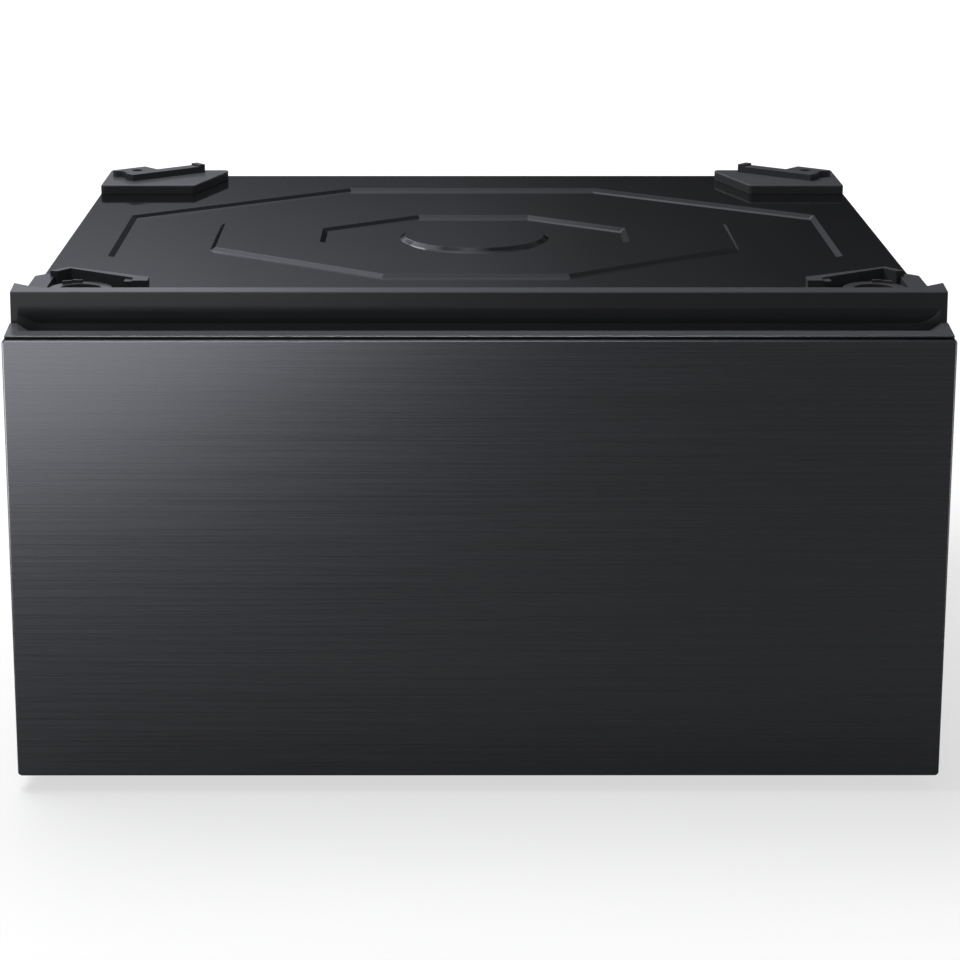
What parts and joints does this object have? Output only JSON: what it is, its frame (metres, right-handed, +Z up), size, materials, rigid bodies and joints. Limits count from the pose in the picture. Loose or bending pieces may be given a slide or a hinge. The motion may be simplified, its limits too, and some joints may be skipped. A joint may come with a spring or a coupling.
{
  "type": "laundry pedestal",
  "caption": "Low steel pedestal with a full-width brushed drawer, finger-gap pull, stamped deck with moulded machine seats, and levelling feet.",
  "frame": {"origin": "on the floor under the middle of the footprint", "axes": "+X to the right as seen from the front, +Y towards the rear, +Z up; the drawer opens towards -Y"},
  "size_m": [0.686, 0.702, 0.3743],
  "materials": {
    "black_paint": "gloss",
    "dark_plastic": "matt",
    "clip_plastic": "satin",
    "zinc_steel": "zinc plated",
    "black_screw": "black oxide",
    "bearing_steel": "polished",
    "brushed_dark_steel": "dark tint, brushed along its width",
    "frame_plastic": "matt",
    "grey_paint": "satin",
    "lever_plastic": "gloss",
    "rubber": "matt"
  },
  "bodies": {
    "cabinet": {"left_side_panel": "black_paint", "right_side_panel": "black_paint", "rear_panel": "black_paint", "top_plate": "black_paint", "front_top_rail": "dark_plastic", "front_cross_member": "black_paint", "left_base_rail": "black_paint", "right_base_rail": "black_paint", "front_base_rail": "black_paint", "rear_base_rail": "black_paint", "rear_left_seat": "dark_plastic", "rear_right_seat": "dark_plastic", "front_left_pocket": "dark_plastic", "front_right_pocket": "dark_plastic", "front_left_clip": "clip_plastic", "front_right_clip": "clip_plastic", "left_slide_bracket": "zinc_steel", "right_slide_bracket": "zinc_steel", "left_slide_outer": "zinc_steel", "right_slide_outer": "zinc_steel", "slide_rivets": "zinc_steel", "seat_screws": "zinc_steel", "rail_screws": "zinc_steel", "rear_panel_screws": "black_screw", "foot_weld_nuts": "zinc_steel", "foot_lock_nuts": "zinc_steel"},
    "drawer": {"drawer_front_skin": "brushed_dark_steel", "drawer_front_frame": "frame_plastic", "handle_cap": "dark_plastic", "drawer_left_side": "grey_paint", "drawer_right_side": "grey_paint", "drawer_back": "grey_paint", "drawer_floor": "grey_paint", "drawer_front_wall": "grey_paint", "left_slide_inner": "zinc_steel", "right_slide_inner": "zinc_steel", "drawer_bumpers": "rubber", "drawer_front_screws": "zinc_steel", "slide_inner_screws": "zinc_steel"},
    "left_outer_bearing": {"left_outer_cage": "zinc_steel", "left_outer_balls": "bearing_steel"},
    "left_middle": {"left_slide_middle": "zinc_steel"},
    "left_inner_bearing": {"left_inner_cage": "zinc_steel", "left_inner_balls": "bearing_steel"},
    "left_lever": {"left_release_lever": "lever_plastic"},
    "right_outer_bearing": {"right_outer_cage": "zinc_steel", "right_outer_balls": "bearing_steel"},
    "right_middle": {"right_slide_middle": "zinc_steel"},
    "right_inner_bearing": {"right_inner_cage": "zinc_steel", "right_inner_balls": "bearing_steel"},
    "right_lever": {"right_release_lever": "lever_plastic"},
    "foot_front_left": {"foot_pad_front_left": "rubber"},
    "stem_front_left": {"foot_stem_front_left": "zinc_steel"},
    "foot_front_right": {"foot_pad_front_right": "rubber"},
    "stem_front_right": {"foot_stem_front_right": "zinc_steel"},
    "foot_rear_left": {"foot_pad_rear_left": "rubber"},
    "stem_rear_left": {"foot_stem_rear_left": "zinc_steel"},
    "foot_rear_right": {"foot_pad_rear_right": "rubber"},
    "stem_rear_right": {"foot_stem_rear_right": "zinc_steel"}
  },
  "joints": [
    {"name": "drawer_slide", "type": "slide", "parent": "cabinet", "child": "drawer", "axis": [0, -1, 0], "range_m": [0, 0.48]},
    {"name": "left_outer_bearing_slide", "type": "slide", "parent": "cabinet", "child": "left_outer_bearing", "axis": [0, -1, 0], "range_m": [0, 0.1205]},
    {"name": "left_middle_slide", "type": "slide", "parent": "cabinet", "child": "left_middle", "axis": [0, -1, 0], "range_m": [0, 0.2405]},
    {"name": "left_inner_bearing_slide", "type": "slide", "parent": "cabinet", "child": "left_inner_bearing", "axis": [0, -1, 0], "range_m": [0, 0.3605]},
    {"name": "left_lever_tip", "type": "hinge", "parent": "drawer", "child": "left_lever", "pos_m": [-0.309, -0.059, 0.15], "axis": [1, 0, 0], "range_deg": [-6, 6], "stiffness_Nm_per_rad": 0.05},
    {"name": "right_outer_bearing_slide", "type": "slide", "parent": "cabinet", "child": "right_outer_bearing", "axis": [0, -1, 0], "range_m": [0, 0.1205]},
    {"name": "right_middle_slide", "type": "slide", "parent": "cabinet", "child": "right_middle", "axis": [0, -1, 0], "range_m": [0, 0.2405]},
    {"name": "right_inner_bearing_slide", "type": "slide", "parent": "cabinet", "child": "right_inner_bearing", "axis": [0, -1, 0], "range_m": [0, 0.3605]},
    {"name": "right_lever_tip", "type": "hinge", "parent": "drawer", "child": "right_lever", "pos_m": [0.309, -0.059, 0.15], "axis": [1, 0, 0], "range_deg": [-6, 6], "stiffness_Nm_per_rad": 0.05},
    {"name": "foot_front_left_travel", "type": "slide", "parent": "cabinet", "child": "foot_front_left", "axis": [0, 0, -1], "range_m": [0, 0.02]},
    {"name": "foot_front_left_turn", "type": "hinge", "parent": "foot_front_left", "child": "stem_front_left", "pos_m": [-0.303, -0.266, 0.03], "axis": [0, 0, 1], "range_deg": [0, 4812]},
    {"name": "foot_front_right_travel", "type": "slide", "parent": "cabinet", "child": "foot_front_right", "axis": [0, 0, -1], "range_m": [0, 0.02]},
    {"name": "foot_front_right_turn", "type": "hinge", "parent": "foot_front_right", "child": "stem_front_right", "pos_m": [0.303, -0.266, 0.03], "axis": [0, 0, 1], "range_deg": [0, 4812]},
    {"name": "foot_rear_left_travel", "type": "slide", "parent": "cabinet", "child": "foot_rear_left", "axis": [0, 0, -1], "range_m": [0, 0.02]},
    {"name": "foot_rear_left_turn", "type": "hinge", "parent": "foot_rear_left", "child": "stem_rear_left", "pos_m": [-0.303, 0.289, 0.03], "axis": [0, 0, 1], "range_deg": [0, 4812]},
    {"name": "foot_rear_right_travel", "type": "slide", "parent": "cabinet", "child": "foot_rear_right", "axis": [0, 0, -1], "range_m": [0, 0.02]},
    {"name": "foot_rear_right_turn", "type": "hinge", "parent": "foot_rear_right", "child": "stem_rear_right", "pos_m": [0.303, 0.289, 0.03], "axis": [0, 0, 1], "range_deg": [0, 4812]}
  ],
  "couplings": [
    {"joint": "left_outer_bearing_slide", "follows": "drawer_slide", "ratio": 0.25},
    {"joint": "left_middle_slide", "follows": "drawer_slide", "ratio": 0.5},
    {"joint": "left_inner_bearing_slide", "follows": "drawer_slide", "ratio": 0.75},
    {"joint": "right_outer_bearing_slide", "follows": "drawer_slide", "ratio": 0.25},
    {"joint": "right_middle_slide", "follows": "drawer_slide", "ratio": 0.5},
    {"joint": "right_inner_bearing_slide", "follows": "drawer_slide", "ratio": 0.75},
    {"joint": "foot_front_left_turn", "follows": "foot_front_left_travel", "rad_per_m": 4188.8},
    {"joint": "foot_front_right_turn", "follows": "foot_front_right_travel", "rad_per_m": 4188.8},
    {"joint": "foot_rear_left_turn", "follows": "foot_rear_left_travel", "rad_per_m": 4188.8},
    {"joint": "foot_rear_right_turn", "follows": "foot_rear_right_travel", "rad_per_m": 4188.8}
  ]
}
